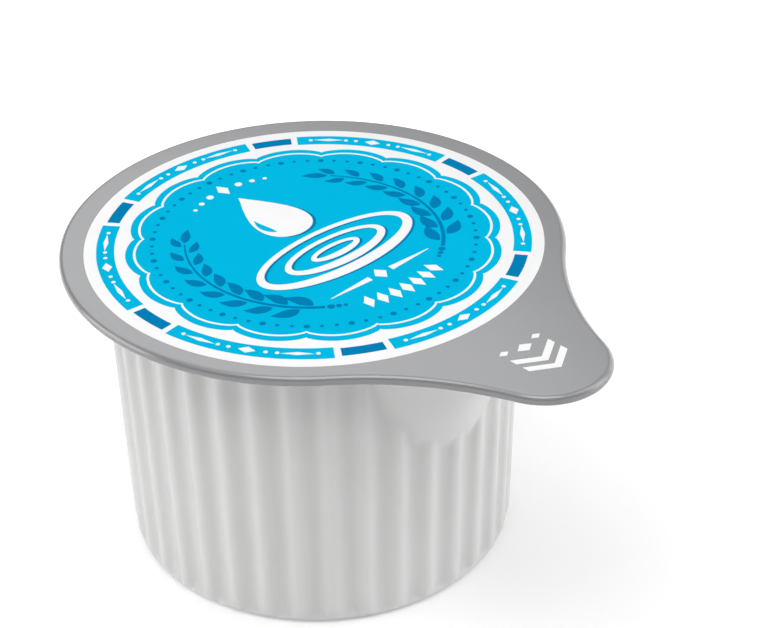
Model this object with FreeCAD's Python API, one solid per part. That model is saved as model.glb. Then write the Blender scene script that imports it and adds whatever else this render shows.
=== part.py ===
import FreeCAD, Part
import math
import os

# Creamer jug with a lift-off lid.
# A squat fluted jug of glazed ceramic, drawn in at the foot, with a pouring
# spout pushed out of its wall, and a flat round silicone lid that lies on its
# rim and ends in a pull tab over the spout.
# Millimetres. +Z is up, Z = 0 is the plane it stands on, and the Z axis is
# the jug's own axis. +X points along the spout and the tab.

# Jug
jug_height = 65.4            # standing plane to the rim that the lid lies on
base_radius = 40.5           # over the ridges, at the standing plane
rim_radius = 42.4            # over the ridges, at the rim
base_rounding = 2.8          # round edge between the wall and the underside
rim_rounding = 0.8           # soft edge between the wall and the rim

# Flutes, all round the jug, run out at their lower ends above a plain foot
flute_count = 37
flute_turn = -0.4            # degrees from +X round to the nearest ridge
flute_depth = 1.3            # ridge to hollow, at the rim
ridge_rounding = 2.4         # radius of the round back of a ridge, at the rim
flute_end = 1.0              # the flutes end this far above the standing plane
flute_end_rounding = 3.0     # radius of their rounded lower ends, seen from the side

# Foot: the glazed underside is let up inside a bare ring
foot_width = 4.0             # width of the flat ring that it stands on
foot_recess = 1.2            # height of the underside above the ring
foot_slope = 2.0             # how far the recess draws in over its height

# Spout, as round sections one above the other: at its lower end, which is
# inside the wall, half way up, and at the rim
spout_drop = 29.6            # rim down to the lowest section
spout_root_depth = 1.5       # the lowest section's lip lies this far inside the wall
spout_root_radius = 17.5
spout_mid_reach = 4.2        # how far the middle section's lip stands out of the wall
spout_mid_radius = 20.0
spout_reach = 9.2            # how far the pouring lip stands out of the rim
spout_radius = 22.0          # roundness of the pouring lip, seen from above

# Lid
lid_radius = 51.0
lid_thickness = 2.3
lid_edge_rounding = 1.1      # a little less than half the thickness
tab_reach = 75.8             # jug's axis to the tab's tip
tab_nose_radius = 13.2       # round end of the tab
tab_neck_radius = 69.0       # hollow curve from the disc to the round end

level_tolerance = 1e-4       # an edge this near to a height lies at it


def wall_radius(z):
    """Radius over the ridges at a height."""
    return base_radius + (rim_radius - base_radius) * z / jug_height


def polar(radius, angle, z=0.0):
    """A point at a radius and an angle about the jug's axis."""
    return FreeCAD.Vector(radius * math.cos(angle), radius * math.sin(angle), z)


def flute_radius():
    """Radius of the hollow arc that meets two ridge arcs smoothly."""
    half_pitch = math.pi / flute_count
    ridge_centre = rim_radius - ridge_rounding
    valley = rim_radius - flute_depth
    across = ridge_centre * math.cos(half_pitch)
    over = ridge_centre ** 2 + valley ** 2 - 2 * across * valley - ridge_rounding ** 2
    return over / (2 * (across + ridge_rounding - valley))


def fluted_outline(outer_radius, z):
    """Closed outline of hollow flutes and round ridges, as tangent arcs."""
    scale = outer_radius / rim_radius
    pitch = 2 * math.pi / flute_count
    ridge_centre = rim_radius - ridge_rounding
    hollow = flute_radius()
    hollow_centre = rim_radius - flute_depth + hollow
    edges = []
    for index in range(flute_count):
        ridge_angle = math.radians(flute_turn) + index * pitch
        flute_angle = ridge_angle + pitch / 2
        ridge = polar(ridge_centre * scale, ridge_angle, z)
        next_ridge = polar(ridge_centre * scale, ridge_angle + pitch, z)
        flute = polar(hollow_centre * scale, flute_angle, z)
        previous = polar(hollow_centre * scale, flute_angle - pitch, z)
        meets = []
        for a, b in ((ridge, previous), (ridge, flute), (next_ridge, flute)):
            step = (b - a).normalize() * (ridge_rounding * scale)
            meets.append(a + step)
        top = polar(outer_radius, ridge_angle, z)
        valley = polar((hollow_centre - hollow) * scale, flute_angle, z)
        edges.append(Part.Arc(meets[0], top, meets[1]).toShape())
        edges.append(Part.Arc(meets[1], valley, meets[2]).toShape())
    return Part.Wire(edges)


def fluted_form():
    """The tapered wall with its flutes, cut off square at both ends."""
    return Part.makeLoft(
        [fluted_outline(base_radius, 0), fluted_outline(rim_radius, jug_height)],
        True, True)


def flute_ends():
    """Disc at the base whose hollowed edge closes the flutes' lower ends."""
    floor = flute_end_rounding - flute_depth
    above = flute_end + math.sqrt(flute_end_rounding ** 2 - floor ** 2)
    centre = FreeCAD.Vector(wall_radius(above) + floor, 0, above)
    low = FreeCAD.Vector(wall_radius(above), 0, flute_end)
    high = centre - FreeCAD.Vector(flute_end_rounding, 0, 0)
    half_way = centre + ((low + high) / 2 - centre).normalize() * flute_end_rounding
    cove = Part.Arc(low, half_way, high).toShape()
    rest = Part.makePolygon([
        high,
        FreeCAD.Vector(0, 0, above),
        FreeCAD.Vector(0, 0, 0),
        FreeCAD.Vector(low.x, 0, 0),
        low,
    ])
    face = Part.Face(Part.Wire([cove] + rest.Edges))
    return face.revolve(FreeCAD.Vector(), FreeCAD.Vector(0, 0, 1), 360)


def turned_blank():
    """The jug without flutes or spout: rounded at the base and at the rim."""
    corners = [
        FreeCAD.Vector(0, 0, 0),
        FreeCAD.Vector(base_radius, 0, 0),
        FreeCAD.Vector(rim_radius, 0, jug_height),
        FreeCAD.Vector(0, 0, jug_height),
    ]
    face = Part.Face(Part.makePolygon(corners + corners[:1]))
    blank = face.revolve(FreeCAD.Vector(), FreeCAD.Vector(0, 0, 1), 360)
    blank = round_edges(blank, 0, base_rounding)
    return round_edges(blank, jug_height, rim_rounding)


def round_edges(shape, z, radius):
    """Round the edges that lie flat at a height."""
    flat = []
    for edge in shape.Edges:
        box = edge.BoundBox
        if max(abs(box.ZMin - z), abs(box.ZMax - z)) < level_tolerance:
            flat.append(edge)
    return shape.makeFillet(radius, flat)


def foot_hollow():
    """What is let up out of the underside, inside the foot ring."""
    ring_inner = base_radius - base_rounding - foot_width
    return Part.makeCone(ring_inner, ring_inner - foot_slope, foot_recess)


def spout_section(lip, radius, z):
    """A round section of the spout whose outermost point is at the lip."""
    centre = FreeCAD.Vector(lip - radius, 0, z)
    return Part.Wire(Part.makeCircle(radius, centre))


def spout():
    """The spout's bulge, swelling from inside the wall to the pouring lip."""
    low = jug_height - spout_drop
    middle = jug_height - spout_drop / 2
    sections = [
        spout_section(wall_radius(low) - spout_root_depth, spout_root_radius, low),
        spout_section(wall_radius(middle) + spout_mid_reach, spout_mid_radius, middle),
        spout_section(rim_radius + spout_reach, spout_radius, jug_height),
    ]
    bulge = Part.makeLoft(sections, True, False)
    return round_edges(bulge, jug_height, rim_rounding)


def jug():
    body = fluted_form().fuse(flute_ends())
    body = body.common(turned_blank())
    body = body.fuse(spout()).removeSplitter()
    return body.cut(foot_hollow())


def lid_outline():
    """Round disc and tab, as four tangent arcs."""
    nose_centre = tab_reach - tab_nose_radius
    to_disc = lid_radius + tab_neck_radius
    to_nose = tab_nose_radius + tab_neck_radius
    neck_x = (to_disc ** 2 - to_nose ** 2 + nose_centre ** 2) / (2 * nose_centre)
    neck_y = math.sqrt(to_disc ** 2 - neck_x ** 2)
    nose = FreeCAD.Vector(nose_centre, 0, 0)
    edges = []
    ends = {}
    for side in (1, -1):
        neck = FreeCAD.Vector(neck_x, side * neck_y, 0)
        on_disc = neck * (lid_radius / to_disc)
        on_nose = nose + (neck - nose) * (tab_nose_radius / to_nose)
        chord = (on_disc + on_nose) / 2
        waist = neck + (chord - neck).normalize() * tab_neck_radius
        edges.append(Part.Arc(on_disc, waist, on_nose).toShape())
        ends[side] = (on_disc, on_nose)
    back = FreeCAD.Vector(-lid_radius, 0, 0)
    tip = FreeCAD.Vector(tab_reach, 0, 0)
    edges.append(Part.Arc(ends[1][0], back, ends[-1][0]).toShape())
    edges.append(Part.Arc(ends[1][1], tip, ends[-1][1]).toShape())
    return Part.Wire(Part.__sortEdges__(edges))


def lid():
    """The lid and its tab in one sheet, round all along its edge."""
    plate = Part.Face(lid_outline()).extrude(FreeCAD.Vector(0, 0, lid_thickness))
    plate = round_edges(plate, 0, lid_edge_rounding)
    plate = round_edges(plate, lid_thickness, lid_edge_rounding)
    plate.translate(FreeCAD.Vector(0, 0, jug_height))
    return plate


os.makedirs("parts", exist_ok=True)
for name, make in (("jug", jug), ("lid", lid)):
    shape = make()
    print(name, shape.isValid(), len(shape.Solids), "solid(s)",
          len(shape.Faces), "faces", round(shape.Volume / 1000, 2), "cm3")
    shape.exportStep("parts/" + name + ".step")
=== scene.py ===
import math

import bpy
from mathutils import Matrix, Vector


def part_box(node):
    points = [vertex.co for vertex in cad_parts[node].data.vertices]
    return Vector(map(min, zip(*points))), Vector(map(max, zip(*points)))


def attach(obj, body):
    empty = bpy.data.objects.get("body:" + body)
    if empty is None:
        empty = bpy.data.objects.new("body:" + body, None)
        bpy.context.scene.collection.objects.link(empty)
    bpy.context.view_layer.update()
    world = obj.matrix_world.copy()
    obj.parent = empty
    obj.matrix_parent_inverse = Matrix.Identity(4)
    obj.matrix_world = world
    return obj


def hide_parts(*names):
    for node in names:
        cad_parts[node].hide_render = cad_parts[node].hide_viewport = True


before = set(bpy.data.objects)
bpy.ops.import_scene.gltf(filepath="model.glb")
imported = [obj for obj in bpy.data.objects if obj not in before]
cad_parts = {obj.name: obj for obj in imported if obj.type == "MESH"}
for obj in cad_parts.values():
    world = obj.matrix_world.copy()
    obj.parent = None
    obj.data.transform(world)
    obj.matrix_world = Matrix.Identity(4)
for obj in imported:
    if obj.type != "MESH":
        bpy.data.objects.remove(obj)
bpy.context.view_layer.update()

# All sizes are in metres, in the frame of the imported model: +Z up, the jug's axis on Z,
# the spout and the lid's tab on +X.
MM = 0.001
RIM_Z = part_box("jug")[1].z
LID_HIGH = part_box("lid")[1]
LID_TOP = LID_HIGH.z

# Jug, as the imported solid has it
BASE_RADIUS = 40.5 * MM
RIM_RADIUS = 42.4 * MM
BASE_ROUNDING = 2.8 * MM
RIM_ROUNDING = 0.8 * MM
FLUTES = 37
FLUTE_DEPTH = 1.3 * MM
RIDGE_ROUNDING = 2.4 * MM
FLUTE_TURN = math.radians(-0.4)
FLUTE_END = 1.0 * MM         # the flutes end this far above the standing plane
FLUTE_END_ROUNDING = 3.0 * MM
FOOT_WIDTH = 4.0 * MM
FOOT_RECESS = 1.2 * MM
FOOT_SLOPE = 2.0 * MM
FOOT_SOFTNESS = 0.3 * MM     # width of the narrow rows at the foot ring's edges

# Spout: its sections low, half way and at the rim, how far out of the wall and how round
SPOUT_DROP = 29.6 * MM
SPOUT_REACHES = (-1.5 * MM, 4.2 * MM, 9.2 * MM)
SPOUT_RADII = (17.5 * MM, 20.0 * MM, 22.0 * MM)

# Softness that the glaze adds
GLAZE_FILLET = 0.5 * MM      # where the spout leaves the wall
GLAZE_FOOT = 0.5 * MM        # where the flutes run out at the base

# Lid
LID_RADIUS = 51.0 * MM
TAB_REACH = LID_HIGH.x
TAB_NOSE = 13.2 * MM
TAB_NECK = 69.0 * MM
LID_EDGE = (LID_TOP - RIM_Z) / 2
EDGE_BLEND = 0.15 * MM       # width of the strip in which the round edge turns into the flat

# Print on the lid
INK = 0.04 * MM              # each layer of print stands this much above the one below
PRINT_CENTRE = Vector((1.0 * MM, -0.5 * MM))
PRINT_RADIUS = 46.2 * MM


# ---------------------------------------------------------------- meshes

def piece(name, verts, faces, material, smooth=True):
    """A mesh that rides on the one body and takes its finish from a slot."""
    mesh = bpy.data.meshes.new(name)
    mesh.from_pydata([tuple(v) for v in verts], [], faces)
    mesh.validate()
    for polygon in mesh.polygons:
        polygon.use_smooth = smooth
    obj = bpy.data.objects.new(name, mesh)
    bpy.context.scene.collection.objects.link(obj)
    mesh.materials.append(material)
    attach(obj, "root")
    return obj


def soft_max(a, b, width):
    """The larger of two lengths, rounded over where they are within a width of each other."""
    near = max(width - abs(a - b), 0.0) / width
    return max(a, b) + near * near * width / 4


def soft_min(a, b, width):
    """The smaller of two lengths, rounded over in the same way."""
    return -soft_max(-a, -b, width)


def span(start, end, steps, last=True):
    """Evenly spaced values from start to end."""
    count = steps + 1 if last else steps
    return [start + (end - start) * i / steps for i in range(count)]


# ---------------------------------------------------------------- jug

HALF_PITCH = math.pi / FLUTES
RIDGE_CENTRE = RIM_RADIUS - RIDGE_ROUNDING
VALLEY = RIM_RADIUS - FLUTE_DEPTH
ACROSS = RIDGE_CENTRE * math.cos(HALF_PITCH)
FLUTE_ARC = ((RIDGE_CENTRE ** 2 + VALLEY ** 2 - 2 * ACROSS * VALLEY - RIDGE_ROUNDING ** 2)
             / (2 * (ACROSS + RIDGE_ROUNDING - VALLEY)))
FLUTE_CENTRE = VALLEY + FLUTE_ARC


def ridge_end():
    """Angle from a ridge's middle to where its round back meets the hollow."""
    flute_x = FLUTE_CENTRE * math.cos(HALF_PITCH)
    flute_y = FLUTE_CENTRE * math.sin(HALF_PITCH)
    share = RIDGE_ROUNDING / (RIDGE_ROUNDING + FLUTE_ARC)
    x = RIDGE_CENTRE + (flute_x - RIDGE_CENTRE) * share
    return math.atan2(flute_y * share, x)


RIDGE_END = ridge_end()


def fluted(angle):
    """Radius of the fluted outline at the rim's size."""
    from_ridge = abs((angle - FLUTE_TURN + HALF_PITCH) % (2 * HALF_PITCH) - HALF_PITCH)
    if from_ridge < RIDGE_END:
        off = RIDGE_CENTRE * math.sin(from_ridge)
        return RIDGE_CENTRE * math.cos(from_ridge) + math.sqrt(RIDGE_ROUNDING ** 2 - off ** 2)
    from_valley = HALF_PITCH - from_ridge
    off = FLUTE_CENTRE * math.sin(from_valley)
    return FLUTE_CENTRE * math.cos(from_valley) - math.sqrt(FLUTE_ARC ** 2 - off ** 2)


def through(values, t):
    """A smooth curve through three values at 0, a half and 1."""
    a, b, c = values
    return a * (1 - t) * (1 - 2 * t) + 4 * b * t * (1 - t) + c * t * (2 * t - 1)


def wall_radius(z):
    """Radius over the ridges at a height."""
    return BASE_RADIUS + (RIM_RADIUS - BASE_RADIUS) * z / RIM_Z


SPOUT_LOW = RIM_Z - SPOUT_DROP
SPOUT_LIPS = [wall_radius(RIM_Z - SPOUT_DROP * (1 - share)) + reach
              for share, reach in zip((0, 0.5, 1), SPOUT_REACHES)]


def spout_radius(angle, z):
    """Distance from the jug's axis to the spout's outside, or 0 where it has none."""
    if z < SPOUT_LOW:
        return 0.0
    t = (z - SPOUT_LOW) / SPOUT_DROP
    lip, radius = through(SPOUT_LIPS, t), through(SPOUT_RADII, t)
    centre = lip - radius
    off = centre * math.sin(angle)
    if abs(off) >= radius or math.cos(angle) <= 0:
        return 0.0
    return centre * math.cos(angle) + math.sqrt(radius ** 2 - off ** 2)


def flute_end(z):
    """How deep a flute is at its rounded lower end, and how deep it is above that."""
    floor = FLUTE_END_ROUNDING - FLUTE_DEPTH
    below = FLUTE_END + math.sqrt(FLUTE_END_ROUNDING ** 2 - floor ** 2) - z
    if below <= 0:
        return FLUTE_DEPTH
    if below >= FLUTE_END_ROUNDING:
        return 0.0
    return max(math.sqrt(FLUTE_END_ROUNDING ** 2 - below ** 2) - floor, 0.0)


def jug_radius(angle, z):
    """The jug's outside at an angle and a height."""
    wall = wall_radius(z)
    radius = fluted(angle) * wall / RIM_RADIUS
    if z < FLUTE_END + FLUTE_END_ROUNDING:
        radius = soft_max(radius, wall - flute_end(z), GLAZE_FOOT)
    if z < BASE_ROUNDING:
        drop = BASE_ROUNDING - z
        turned = BASE_RADIUS - BASE_ROUNDING + math.sqrt(BASE_ROUNDING ** 2 - drop ** 2)
        radius = soft_min(radius, turned, GLAZE_FOOT)
    radius = soft_max(radius, spout_radius(angle, z), GLAZE_FILLET)
    above = z - (RIM_Z - RIM_ROUNDING)
    if above > 0:
        radius -= RIM_ROUNDING - math.sqrt(max(RIM_ROUNDING ** 2 - above ** 2, 0.0))
    return radius


COLUMNS_PER_FLUTE = 20       # fineness of the jug's mesh around


def jug_rows():
    """Rings of the jug from the middle of its underside to the middle of its top."""
    ring_outer = BASE_RADIUS - BASE_ROUNDING
    ring_inner = ring_outer - FOOT_WIDTH
    inner = ring_inner - FOOT_SLOPE
    rows = []
    for radius, z in ((inner * 0.5, FOOT_RECESS),
                      (inner - 0.4 * MM, FOOT_RECESS),
                      (inner, FOOT_RECESS - 0.05 * MM),
                      (ring_inner - FOOT_SOFTNESS, FOOT_SOFTNESS / 2),
                      (ring_inner, 0.0),
                      (ring_inner + FOOT_SOFTNESS, 0.0),
                      (ring_outer - FOOT_SOFTNESS, 0.0)):
        rows.append(("flat", radius, z))
    heights = [BASE_ROUNDING * (1 - math.cos(a)) for a in span(0.0, math.pi / 2, 14)]
    heights += span(BASE_ROUNDING, 2 * BASE_ROUNDING, 10)[1:]
    heights += span(2 * BASE_ROUNDING, SPOUT_LOW, 12)[1:]
    heights += span(SPOUT_LOW, RIM_Z - RIM_ROUNDING, 64)[1:]
    heights += [RIM_Z - RIM_ROUNDING * (1 - math.sin(a)) for a in span(0.0, math.pi / 2, 7)][1:]
    rows += [("wall", 1.0, z) for z in heights]
    rows += [("wall", 0.97, RIM_Z), ("wall", 0.5, RIM_Z)]
    return rows


def make_jug(glaze, bisque):
    """The glazed jug in one skin, with its foot ring left bare."""
    columns = FLUTES * COLUMNS_PER_FLUTE
    angles = [2 * math.pi * i / columns for i in range(columns)]
    rows = jug_rows()
    verts = []
    for kind, size, z in rows:
        for angle in angles:
            radius = size if kind == "flat" else size * jug_radius(angle, z)
            verts.append((radius * math.cos(angle), radius * math.sin(angle), z))
    faces = []
    for row in range(len(rows) - 1):
        for i in range(columns):
            j = (i + 1) % columns
            low, high = row * columns, (row + 1) * columns
            faces.append((low + i, low + j, high + j, high + i))
    under, top = len(verts), len(verts) + 1
    verts += [(0, 0, FOOT_RECESS), (0, 0, RIM_Z)]
    last = (len(rows) - 1) * columns
    for i in range(columns):
        j = (i + 1) % columns
        faces.append((under, j, i))
        faces.append((top, last + i, last + j))
    jug = piece("jug_glazed", verts, faces, glaze)
    jug.data.materials.append(bisque)
    for polygon in jug.data.polygons:
        if polygon.center.z < 0.02 * MM and polygon.normal.z < -0.9:
            polygon.material_index = 1
    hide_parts("jug")


# ---------------------------------------------------------------- lid

def tab_outline(inset, disc_steps=220, neck_steps=40, nose_steps=48):
    """The lid's outline, drawn in by an inset, as tangent arcs."""
    nose_x = TAB_REACH - TAB_NOSE
    to_disc, to_nose = LID_RADIUS + TAB_NECK, TAB_NOSE + TAB_NECK
    neck_x = (to_disc ** 2 - to_nose ** 2 + nose_x ** 2) / (2 * nose_x)
    neck_y = math.sqrt(to_disc ** 2 - neck_x ** 2)
    disc_end = math.atan2(neck_y, neck_x)
    nose_end = math.atan2(neck_y, neck_x - nose_x)
    points = []

    def arc(cx, cy, radius, start, end, steps):
        for a in span(start, end, steps, last=False):
            points.append((cx + radius * math.cos(a), cy + radius * math.sin(a)))

    arc(0, 0, LID_RADIUS - inset, disc_end, 2 * math.pi - disc_end, disc_steps)
    arc(neck_x, -neck_y, TAB_NECK + inset, math.pi - disc_end, math.pi - nose_end, neck_steps)
    arc(nose_x, 0, TAB_NOSE - inset, -nose_end, nose_end, nose_steps)
    arc(neck_x, neck_y, TAB_NECK + inset, math.pi + nose_end, math.pi + disc_end, neck_steps)
    return points


def make_lid(silicone):
    """One sheet of silicone, round all along its edge."""
    middle = (RIM_Z + LID_TOP) / 2
    flat = LID_EDGE + EDGE_BLEND
    rings = [(flat, RIM_Z)]
    for a in span(-math.pi / 2, math.pi / 2, 16):
        rings.append((LID_EDGE - LID_EDGE * math.cos(a), middle + LID_EDGE * math.sin(a)))
    rings.append((flat, LID_TOP))
    verts = []
    for inset, z in rings:
        verts += [(x, y, z) for x, y in tab_outline(inset)]
    count = len(verts) // len(rings)
    faces = [tuple(range(count))[::-1]]
    for ring in range(len(rings) - 1):
        for i in range(count):
            j = (i + 1) % count
            low, high = ring * count, (ring + 1) * count
            faces.append((low + i, low + j, high + j, high + i))
    faces.append(tuple(range((len(rings) - 1) * count, len(rings) * count)))
    lid = piece("lid_silicone", verts, faces, silicone)
    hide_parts("lid")


# ---------------------------------------------------------------- materials

def material(name, color, roughness):
    """A node material with its shader's plain values set; returns it, its nodes, links and shader."""
    made = bpy.data.materials.new(name)
    made.use_nodes = True
    nodes, links = made.node_tree.nodes, made.node_tree.links
    shader = nodes["Principled BSDF"]
    shader.inputs["Base Color"].default_value = (*color, 1)
    shader.inputs["Roughness"].default_value = roughness
    return made, nodes, links, shader


def noise(nodes, links, scale):
    """Soft noise fixed to the piece."""
    place = nodes.new("ShaderNodeTexCoord")
    texture = nodes.new("ShaderNodeTexNoise")
    texture.inputs["Scale"].default_value = scale
    texture.inputs["Detail"].default_value = 2.0
    links.new(place.outputs["Object"], texture.inputs["Vector"])
    return texture


def ranged(nodes, links, source, start, end, low, high):
    """A value carried from one range to another, and held at its ends."""
    spread = nodes.new("ShaderNodeMapRange")
    spread.inputs["From Min"].default_value = start
    spread.inputs["From Max"].default_value = end
    spread.inputs["To Min"].default_value = low
    spread.inputs["To Max"].default_value = high
    links.new(source, spread.inputs["Value"])
    return spread.outputs["Result"]


def mottle(nodes, links, shader, first, second, scale):
    """Base colour that drifts between two near colours."""
    texture = noise(nodes, links, scale)
    mix = nodes.new("ShaderNodeMix")
    mix.data_type = "RGBA"
    mix.inputs["A"].default_value = (*first, 1)
    mix.inputs["B"].default_value = (*second, 1)
    share = ranged(nodes, links, texture.outputs["Fac"], 0.3, 0.7, 0.0, 1.0)
    links.new(share, mix.inputs["Factor"])
    links.new(mix.outputs["Result"], shader.inputs["Base Color"])


def relief(nodes, links, shader, scale, height):
    """Fine unevenness of a surface, height in metres."""
    texture = noise(nodes, links, scale)
    bump = nodes.new("ShaderNodeBump")
    bump.inputs["Strength"].default_value = 1.0
    bump.inputs["Distance"].default_value = height
    links.new(texture.outputs["Fac"], bump.inputs["Height"])
    links.new(bump.outputs["Normal"], shader.inputs["Normal"])


def glaze_material():
    """White glazed stoneware, a little translucent."""
    made, nodes, links, shader = material("glaze", (0.85, 0.86, 0.84), 0.42)
    shader.inputs["Subsurface Weight"].default_value = 0.8
    shader.inputs["Subsurface Radius"].default_value = (1.0, 1.0, 1.0)
    shader.inputs["Subsurface Scale"].default_value = 3.0 * MM
    shader.inputs["Coat Weight"].default_value = 0.25
    shader.inputs["Coat Roughness"].default_value = 0.2
    mottle(nodes, links, shader, (0.855, 0.865, 0.85), (0.875, 0.88, 0.868), 60)
    relief(nodes, links, shader, 220, 0.02 * MM)
    return made


def bisque_material():
    """The bare clay of the foot ring."""
    made, nodes, links, shader = material("bisque", (0.78, 0.75, 0.69), 0.85)
    mottle(nodes, links, shader, (0.78, 0.75, 0.69), (0.72, 0.69, 0.63), 300)
    relief(nodes, links, shader, 2500, 0.03 * MM)
    return made


def silicone_material():
    """Grey silicone with a satin sheen."""
    made, nodes, links, shader = material("silicone", (0.287, 0.29, 0.299), 0.2)
    shader.inputs["Specular IOR Level"].default_value = 1.0
    mottle(nodes, links, shader, (0.282, 0.285, 0.294), (0.292, 0.295, 0.304), 40)
    relief(nodes, links, shader, 3000, 0.01 * MM)
    return made


def ink_material(name, color, shine):
    """Printed ink; the darker inks reflect almost nothing."""
    made, nodes, links, shader = material(name, color, 0.2)
    shader.inputs["Specular IOR Level"].default_value = shine
    lighter = tuple(min(c * 1.03, 1.0) for c in color)
    mottle(nodes, links, shader, color, lighter, 90)
    relief(nodes, links, shader, 3000, 0.006 * MM)
    return made


# ---------------------------------------------------------------- print

# The print is drawn in millimetres about its middle, as read from the tab's end of the lid:
# u to the right (+Y) and v away from the tab (-X).

def loop(radius, steps, centre=(0.0, 0.0)):
    """A round outline; its radius is a length or a function of the angle."""
    points = []
    for a in span(0, 2 * math.pi, steps, last=False):
        r = radius(a) if callable(radius) else radius
        points.append((centre[0] + r * math.cos(a), centre[1] + r * math.sin(a)))
    return points


def at(angle, radius):
    """The point at an angle in degrees and a distance from the print's middle."""
    a = math.radians(angle)
    return radius * math.cos(a), radius * math.sin(a)


def sector(inner, outer, start, end):
    """Outline of a piece of a round band, angles in degrees."""
    steps = max(4, round(abs(end - start) / 1.5))
    angles = span(start, end, steps)
    return [at(a, outer) for a in angles] + [at(a, inner) for a in reversed(angles)]


def lozenge(middle, along, across, angle):
    """A diamond whose longer way lies at an angle in degrees."""
    a = math.radians(angle)
    c, s = math.cos(a), math.sin(a)
    corners = ((along, 0), (0, across), (-along, 0), (0, -across))
    return [(middle[0] + x * c - y * s, middle[1] + x * s + y * c) for x, y in corners]


def stroke(line, widths):
    """Outline of a brush line: its middle line and how wide it is at each point."""
    left, right = [], []
    for i, (u, v) in enumerate(line):
        before, after = line[max(i - 1, 0)], line[min(i + 1, len(line) - 1)]
        du, dv = after[0] - before[0], after[1] - before[1]
        size = math.hypot(du, dv) or 1.0
        off_u, off_v = -dv / size * widths[i] / 2, du / size * widths[i] / 2
        left.append((u + off_u, v + off_v))
        right.append((u - off_u, v - off_v))
    return left + right[::-1]


def leaf(root, angle, length, width, bend=0.0):
    """A pointed leaf from its root, at an angle in degrees, bent by some degrees to its tip."""
    steps = 14
    line, widths = [root], [0.05]
    u, v = root
    for i in range(1, steps + 1):
        t = i / steps
        a = math.radians(angle + bend * t)
        u += length / steps * math.cos(a)
        v += length / steps * math.sin(a)
        line.append((u, v))
        widths.append(max(width * math.sin(math.pi * t ** 0.8), 0.03))
    return stroke(line, widths)


def moved(outline, u, v):
    """The outline set off by a step."""
    return [(a + u, b + v) for a, b in outline]


def mirrored(outlines):
    """The outlines together with their images across the print's middle line."""
    return outlines + [[(-u, v) for u, v in outline] for outline in outlines]


def print_layer(name, shapes, layer, ink, centre=PRINT_CENTRE):
    """Flat printed shapes with a thin edge down to what lies under them. A shape is one outline,
    or an outer and an inner one with as many points."""
    verts, faces = [], []
    top = LID_TOP + layer * INK

    def add_loop(points, outward):
        turn = sum(a[0] * b[1] - b[0] * a[1] for a, b in zip(points, points[1:] + points[:1]))
        points = points if turn > 0 else points[::-1]
        start, count = len(verts), len(points)
        for z in (top, top - INK):
            verts.extend((centre.x - v * MM, centre.y + u * MM, z) for u, v in points)
        for i in range(count):
            j = (i + 1) % count
            edge = (start + count + i, start + count + j, start + j, start + i)
            faces.append(edge if outward else edge[::-1])
        return range(start, start + count)

    for shape in shapes:
        if isinstance(shape, tuple):
            outer, inner = add_loop(shape[0], True), add_loop(shape[1], False)
            count = len(outer)
            for i in range(count):
                j = (i + 1) % count
                faces.append((outer[i], outer[j], inner[j], inner[i]))
        else:
            faces.append(tuple(add_loop(shape, True)))
    piece(name, verts, faces, ink, smooth=False)


BAND_MIDDLE = 41.9           # middle of the broken band round the edge
DOT = 0.42
BADGE_RADIUS = 36.3
SCALLOPS = 16
SCALLOP_RISE = 1.7
BEAD_CIRCLE = 32.6
BEADS = 72
TWIG_CIRCLE = 26.0
DROP_MIDDLE = (0, 13.4)
OVAL_MIDDLE = (0, -6.2)      # of the ripples under the drop
RULE_V = -19.2               # of the rule below the ripples
TAB_MARK = Vector((61.5 * MM, 0.0))


def scalloped(inset):
    """Radius of the badge's edge at an angle, drawn in by an inset."""
    return lambda a: BADGE_RADIUS - inset + SCALLOP_RISE * abs(math.sin(SCALLOPS / 2 * a)) ** 0.7


def ripple(across, deep, thin, thick, middle):
    """An oval ring, thicker on its near side, as an outer and an inner outline."""
    outer, inner = [], []
    for a in span(0, 2 * math.pi, 120, last=False):
        wide = thin + (thick - thin) * (1 - math.sin(a)) / 2
        for points, side in ((outer, 0.5), (inner, -0.5)):
            points.append((middle[0] + (across + side * wide) * math.cos(a),
                           middle[1] + (deep + side * wide) * math.sin(a)))
    return outer, inner


def drop_outline(middle, across, high):
    """A falling drop, pointed at its top."""
    points = []
    for t in span(0, 2 * math.pi, 96, last=False):
        points.append((middle[0] + across / 2 * 1.16 * math.sin(t) * abs(math.sin(t / 2)) ** 1.3,
                       middle[1] + high / 2 * math.cos(t)))
    return points


def sprig():
    """A curved twig up the right side with leaves set off on both sides, and berries below it."""
    start, end, steps = -52, 40, 40
    line = [at(a, TWIG_CIRCLE) for a in span(start, end, steps)]
    shapes = [stroke(line, span(0.8, 0.3, steps))]
    for i, angle in enumerate(span(start + 5, end - 7, 7)):
        size = 1 - 0.045 * i
        inside, outside = at(angle, TWIG_CIRCLE - 0.75), at(angle + 5.5, TWIG_CIRCLE + 0.75)
        shapes.append(leaf(inside, angle + 138, 6.4 * size, 2.7 * size, -40))
        shapes.append(leaf(outside, angle + 49, 6.0 * size, 2.6 * size, 38))
    shapes.append(leaf(at(end + 1.5, TWIG_CIRCLE), end + 90, 5.4, 2.0, 12))
    for off, size in ((2.6, 0.75), (6.0, 0.58), (8.9, 0.44)):
        shapes.append(loop(size, 20, at(start - off, TWIG_CIRCLE)))
    return shapes


def band():
    """The band round the edge: its long pieces, its short ones and the marks in the long ones."""
    longs, shorts, marks = [], [], []
    for middle in range(90, 450, 60):
        longs.append(sector(40.1, 43.7, middle - 22.5, middle + 22.5))
        shorts.append(sector(40.6, 43.2, middle + 24.3, middle + 35.7))
        marks.append(lozenge(at(middle, BAND_MIDDLE), 1.7, 1.0, middle + 90))
        for side in (-1, 1):
            for step in (5.0, 8.0, 18.5):
                marks.append(loop(DOT, 20, at(middle + side * step, BAND_MIDDLE)))
            angle = middle + side * 13.2
            marks.append(lozenge(at(angle, BAND_MIDDLE), 3.2, 0.5, angle + 90))
    return longs, shorts, marks


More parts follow.
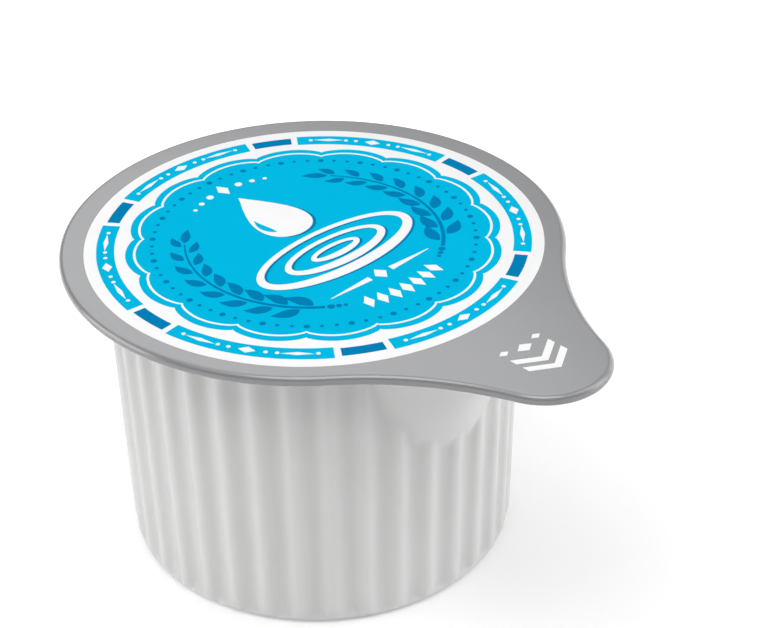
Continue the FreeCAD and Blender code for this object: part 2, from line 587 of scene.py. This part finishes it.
def badge_marks():
    """White marks of the badge: a fine line inside its edge, a rule, and diamonds and dots."""
    line = (loop(scalloped(1.55), 480), loop(scalloped(2.05), 480))
    shares = span(0, 1, 12)
    half_rule = stroke([(2.8 + 10.4 * t, RULE_V) for t in shares],
                       [1.3 * (1 - t) + 0.15 for t in shares])
    rule = mirrored([half_rule])
    rule.append(lozenge((0, RULE_V), 1.9, 1.5, 90))
    foot = [lozenge(at(6.4 * i - 90, 26.6), 2.2, 1.15, 6.4 * i - 90) for i in range(-3, 4)]
    dots = ((0.8, (3.9, 27.8)), (0.6, (6.9, 26.9)), (0.45, (9.5, 25.8)))
    head = [lozenge((0, 28.2), 2.2, 1.3, 90)]
    head += mirrored([loop(size, 20, middle) for size, middle in dots])
    return [line] + rule + foot + head


def beads():
    """A ring of beads inside the badge's edge, every third one larger."""
    return [loop(0.4 if i % 3 else 0.62, 20, at(i * 360 / BEADS, BEAD_CIRCLE)) for i in range(BEADS)]


def tab_marks():
    """Two chevrons towards the tab's tip, and three small diamonds."""
    chevron = [(-5.2, 3.2), (0, 0), (5.2, 3.2), (5.2, 4.9), (0, 1.7), (-5.2, 4.9)]
    marks = [moved(chevron, 0, -5.8), moved(chevron, 0, -2.6), lozenge((0, 3.4), 1.9, 1.3, 0)]
    return marks + mirrored([lozenge((4.3, 4.6), 1.2, 0.8, 0)])


def make_print():
    """The lid's print, layer on layer, and the tab's."""
    white = ink_material("print_white", (0.9, 0.9, 0.905), 0.3)
    cyan = ink_material("print_cyan", (0.001, 0.465, 0.735), 0.0)
    blue = ink_material("print_blue", (0.001, 0.205, 0.44), 0.0)
    longs, shorts, marks = band()
    badge = loop(scalloped(0), 480)
    drop = drop_outline(DROP_MIDDLE, 14.0, 20.0)
    ripples = [ripple(5.6, 1.7, 1.0, 1.6, OVAL_MIDDLE),
               ripple(12.0, 4.4, 1.1, 2.1, OVAL_MIDDLE),
               ripple(18.8, 7.4, 1.2, 2.6, OVAL_MIDDLE)]
    shadow = [moved(drop, 0.45, -0.5)]
    for outer, inner in ripples:
        shadow.append((moved(outer, 0.35, -0.4), moved(inner, 0.35, -0.4)))
    shine = leaf((-3.6, 7.2), 118, 6.8, 1.5, -46)

    print_layer("print_disc", [loop(PRINT_RADIUS / MM, 240)], 1, white)
    print_layer("print_fields", longs + [badge], 2, cyan)
    print_layer("print_spacers", shorts, 2, blue)
    print_layer("print_marks", marks, 3, white)
    print_layer("print_line", badge_marks(), 3, white)
    print_layer("print_twigs", mirrored(sprig()) + beads() + shadow, 3, blue)
    print_layer("print_drop", [drop] + ripples, 4, white)
    print_layer("print_shine", [shine], 5, cyan)
    print_layer("print_tab", tab_marks(), 1, white, TAB_MARK)


# ---------------------------------------------------------------- scene

LIGHT_DISTANCE = 0.8
LIGHT_AIM = Vector((0, 0, 0.03))
PAINTED_SHADOW_PLACE = (0.09, 0.055, 0)      # the floor's glow is weakest here, a painted shadow where the jug's shadow lies deepest
FLOOR_HALF = 3.0
FLOOR_LEVEL = -0.05 * MM             # just clear of the foot ring

# Lights about the view: how far round from the camera and how high, in degrees, how wide, in
# metres, and the power, in watts
LIGHTS = (
    ("front_top", 0, 65, 0.6, 2.4),
    ("left_low", 270, 12, 0.6, 2.6),
    ("left_top", 318, 62, 0.6, 0.8),
    ("back_left", 198, 53, 0.8, 2.3),
    ("right_high", 90, 42, 0.6, 1.5),
    ("front_right", 40, 58, 0.6, 0.7),
    ("right_low", 90, 12, 0.6, 1.6),
    ("front_low", 0, 12, 0.6, 0.15),
    ("back_right", 135, 12, 0.6, 0.9),
)


def make_camera():
    """A long lens held above the rim, off to one side of the tab; returns its azimuth."""
    azimuth = math.radians(48.62)        # of the camera about the jug, from -Y towards +X
    distance = 382.6 * MM                # from the jug's axis, level
    height = 292.9 * MM
    turn = math.radians(1.95)            # how far it looks to the right of the jug's axis
    pitch = math.radians(32.56)          # how far it looks down
    roll = math.radians(-1.19)
    camera = bpy.data.cameras.new("camera")
    camera.sensor_width = 36.0
    camera.lens = 104.5
    obj = bpy.data.objects.new("camera", camera)
    bpy.context.scene.collection.objects.link(obj)
    place = Vector((distance * math.sin(azimuth), -distance * math.cos(azimuth), height))
    facing = (Matrix.Rotation(azimuth - turn, 4, "Z")
              @ Matrix.Rotation(math.pi / 2 - pitch, 4, "X")
              @ Matrix.Rotation(roll, 4, "Z"))
    obj.matrix_world = Matrix.Translation(place) @ facing
    bpy.context.scene.camera = obj
    return azimuth


def area_light(name, place, size, power, target):
    """A round soft light that faces its target."""
    light = bpy.data.lights.new(name, "AREA")
    light.shape = "DISK"
    light.size = size
    light.energy = power
    obj = bpy.data.objects.new(name, light)
    bpy.context.scene.collection.objects.link(obj)
    obj.location = place
    obj.rotation_euler = (Vector(target) - Vector(place)).to_track_quat("-Z", "Y").to_euler()


def make_world():
    """White behind everything for the camera, dim in reflections, and no light of its own."""
    world = bpy.data.worlds.new("room")
    world.use_nodes = True
    bpy.context.scene.world = world
    nodes, links = world.node_tree.nodes, world.node_tree.links
    path = nodes.new("ShaderNodeLightPath")
    reflected = nodes.new("ShaderNodeMath")
    reflected.operation = "MULTIPLY"
    reflected.inputs[1].default_value = 0.15
    links.new(path.outputs["Is Glossy Ray"], reflected.inputs[0])
    strength = nodes.new("ShaderNodeMath")
    strength.operation = "MAXIMUM"
    links.new(path.outputs["Is Camera Ray"], strength.inputs[0])
    links.new(reflected.outputs[0], strength.inputs[1])
    background = nodes["Background"]
    background.inputs["Color"].default_value = (1, 1, 1, 1)
    links.new(strength.outputs[0], background.inputs["Strength"])


def floor_material():
    """White where nothing shades it, for the camera and in reflections. Its glow is painted shadow
    and painted light:
    weaker near the jug's shadow, which deepens that shadow, and strongest far out, in place of the
    lamps' light."""
    made, nodes, links, shader = material("floor", (0.86, 0.86, 0.86), 0.9)
    shader.inputs["Specular IOR Level"].default_value = 0.1
    path = nodes.new("ShaderNodeLightPath")
    seen = nodes.new("ShaderNodeMath")
    seen.operation = "MAXIMUM"
    links.new(path.outputs["Is Camera Ray"], seen.inputs[0])
    links.new(path.outputs["Is Glossy Ray"], seen.inputs[1])
    place = nodes.new("ShaderNodeTexCoord")
    away = nodes.new("ShaderNodeVectorMath")
    away.operation = "DISTANCE"
    away.inputs[1].default_value = PAINTED_SHADOW_PLACE
    links.new(place.outputs["Object"], away.inputs[0])
    # painted shadow and painted light: the glow grows with distance from the painted shadow's place
    strength = ranged(nodes, links, away.outputs["Value"], 0.04, 0.6, 0.2, 1.0)
    painted_shadow_glow = nodes.new("ShaderNodeMath")
    painted_shadow_glow.operation = "MULTIPLY"
    links.new(seen.outputs[0], painted_shadow_glow.inputs[0])
    links.new(strength, painted_shadow_glow.inputs[1])
    shader.inputs["Emission Color"].default_value = (1, 1, 1, 1)
    links.new(painted_shadow_glow.outputs[0], shader.inputs["Emission Strength"])
    return made


def make_floor():
    """A plain level floor, wide enough to fill the view."""
    mesh = bpy.data.meshes.new("floor")
    signs = ((-1, -1), (1, -1), (1, 1), (-1, 1))
    corners = [(x * FLOOR_HALF, y * FLOOR_HALF, FLOOR_LEVEL) for x, y in signs]
    mesh.from_pydata(corners, [], [(0, 1, 2, 3)])
    obj = bpy.data.objects.new("floor", mesh)
    bpy.context.scene.collection.objects.link(obj)
    mesh.materials.append(floor_material())


def make_lights(azimuth):
    """The soft lights, set round the camera's azimuth."""
    for name, around, up, size, power in LIGHTS:
        turn = azimuth + math.radians(around)
        rise = math.radians(up)
        level = math.cos(rise)
        away = Vector((math.sin(turn) * level, -math.cos(turn) * level, math.sin(rise)))
        area_light(name, LIGHT_AIM + away * LIGHT_DISTANCE, size, power, LIGHT_AIM)


make_jug(glaze_material(), bisque_material())
make_lid(silicone_material())
make_print()
view_azimuth = make_camera()
make_world()
make_floor()
make_lights(view_azimuth)
bpy.context.scene.view_settings.view_transform = "Standard"
